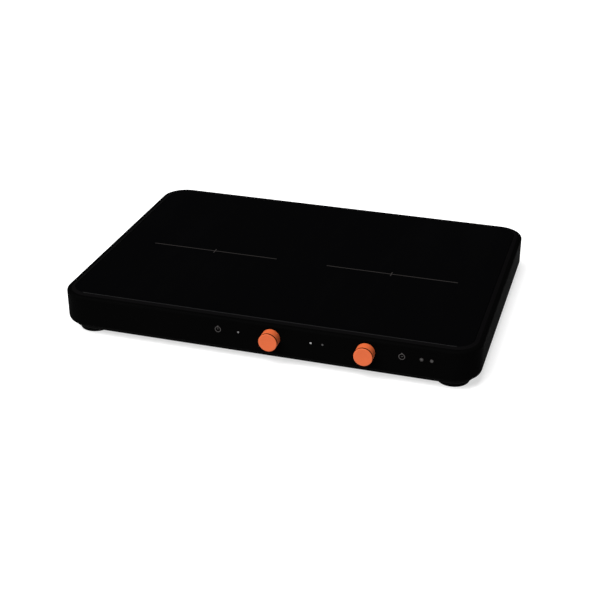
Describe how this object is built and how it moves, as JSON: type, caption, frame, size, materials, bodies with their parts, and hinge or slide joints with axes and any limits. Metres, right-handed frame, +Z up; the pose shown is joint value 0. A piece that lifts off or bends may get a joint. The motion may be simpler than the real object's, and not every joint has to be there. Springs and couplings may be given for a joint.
{
  "type": "portable two-zone induction cooktop",
  "caption": "Low rounded slab with a black glass top, sloping rim, two orange turn-and-push knobs on the front wall, inner coils, boards and fans, and round feet.",
  "frame": {"origin": "on the table, in the middle of the box that holds the whole object: midway between the side walls, and midway between the faces of the knobs and the end of the cord gland", "axes": "+X to the right as the cook sees it, -Y towards the cook (front wall and knobs), +Z up"},
  "size_m": [0.6, 0.458, 0.064],
  "materials": {
    "casing_plastic": "fine moulded texture, black",
    "tray_plastic": "moulded, black",
    "black_glass": "polished opaque black ceramic glass",
    "silicone": "black silicone",
    "foot_rubber": "matt black rubber",
    "zinc_steel": "zinc plated",
    "brass_screw": "plain brass",
    "board_green": "solder resist over glass fibre",
    "lens_plastic": "clear to milky light guide",
    "led_chip": "resin",
    "contact_foam": "conductive foam",
    "plated_metal": "nickel plated",
    "white_plastic": "moulded, off-white",
    "knob_orange": "satin orange",
    "spring_steel": "spring steel",
    "copper": "enamelled copper",
    "carrier_plastic": "heat-proof plastic",
    "ferrite": "sintered ferrite",
    "mica": "pressed mica sheet",
    "lead_red": "silicone-insulated wire",
    "aluminium": "extruded, plain",
    "black_epoxy": "moulded epoxy",
    "capacitor_yellow": "resin-filled case",
    "choke_wire": "enamelled copper over a ferrite ring",
    "fan_plastic": "moulded, black",
    "gland_nylon": "black nylon",
    "filter_blue": "resin-filled cases and a wound ring"
  },
  "bodies": {
    "casing": {"housing": "casing_plastic", "glass_top": "black_glass", "glass_bond": "silicone", "base_tray": "tray_plastic", "foot_front_left": "foot_rubber", "foot_front_right": "foot_rubber", "foot_rear_left": "foot_rubber", "foot_rear_right": "foot_rubber", "tray_screws": "zinc_steel", "board_screws": "zinc_steel", "coil_screws": "brass_screw", "fan_screws": "zinc_steel", "control_board": "board_green", "indicator_lenses": "lens_plastic", "indicator_leds": "led_chip", "touch_contacts": "contact_foam", "encoder_nuts": "plated_metal", "encoder_left_body": "plated_metal", "encoder_right_body": "plated_metal", "coil_left_winding": "copper", "coil_left_carrier": "carrier_plastic", "coil_left_ferrites": "ferrite", "coil_left_mica": "mica", "coil_left_sensor": "white_plastic", "coil_right_winding": "copper", "coil_right_carrier": "carrier_plastic", "coil_right_ferrites": "ferrite", "coil_right_mica": "mica", "coil_right_sensor": "white_plastic", "coil_left_leads": "lead_red", "coil_right_leads": "lead_red", "power_board_left": "board_green", "heat_sink_left": "aluminium", "transistors_left": "black_epoxy", "capacitors_left": "capacitor_yellow", "choke_left": "choke_wire", "power_board_right": "board_green", "heat_sink_right": "aluminium", "transistors_right": "black_epoxy", "capacitors_right": "capacitor_yellow", "choke_right": "choke_wire", "fan_left_frame": "fan_plastic", "fan_left_stator": "copper", "fan_right_frame": "fan_plastic", "fan_right_stator": "copper", "cord_gland": "gland_nylon", "gland_nut": "gland_nylon", "terminal_block": "white_plastic", "filter_board": "board_green", "filter_parts": "filter_blue"},
    "left_push": {"encoder_left_plunger": "white_plastic"},
    "left_knob": {"knob_left": "knob_orange", "knob_left_clip": "spring_steel", "encoder_left_shaft": "plated_metal"},
    "right_push": {"encoder_right_plunger": "white_plastic"},
    "right_knob": {"knob_right": "knob_orange", "knob_right_clip": "spring_steel", "encoder_right_shaft": "plated_metal"},
    "left_fan": {"fan_left_rotor": "fan_plastic"},
    "right_fan": {"fan_right_rotor": "fan_plastic"}
  },
  "joints": [
    {"name": "left_knob_push", "type": "slide", "parent": "casing", "child": "left_push", "axis": [0, 1, 0], "range_m": [0, 0.0005], "stiffness_N_per_m": 2000, "springref_m": -0.001},
    {"name": "left_knob_turn", "type": "hinge", "parent": "left_push", "child": "left_knob", "pos_m": [0.018, -0.212, 0.044], "axis": [0, 1, 0], "continuous": true},
    {"name": "right_knob_push", "type": "slide", "parent": "casing", "child": "right_push", "axis": [0, 1, 0], "range_m": [0, 0.0005], "stiffness_N_per_m": 2000, "springref_m": -0.001},
    {"name": "right_knob_turn", "type": "hinge", "parent": "right_push", "child": "right_knob", "pos_m": [0.15, -0.212, 0.044], "axis": [0, 1, 0], "continuous": true},
    {"name": "left_fan_spin", "type": "hinge", "parent": "casing", "child": "left_fan", "pos_m": [-0.137, -0.132, 0.022], "axis": [0, 0, 1], "continuous": true},
    {"name": "right_fan_spin", "type": "hinge", "parent": "casing", "child": "right_fan", "pos_m": [0.137, -0.132, 0.022], "axis": [0, 0, 1], "continuous": true}
  ]
}
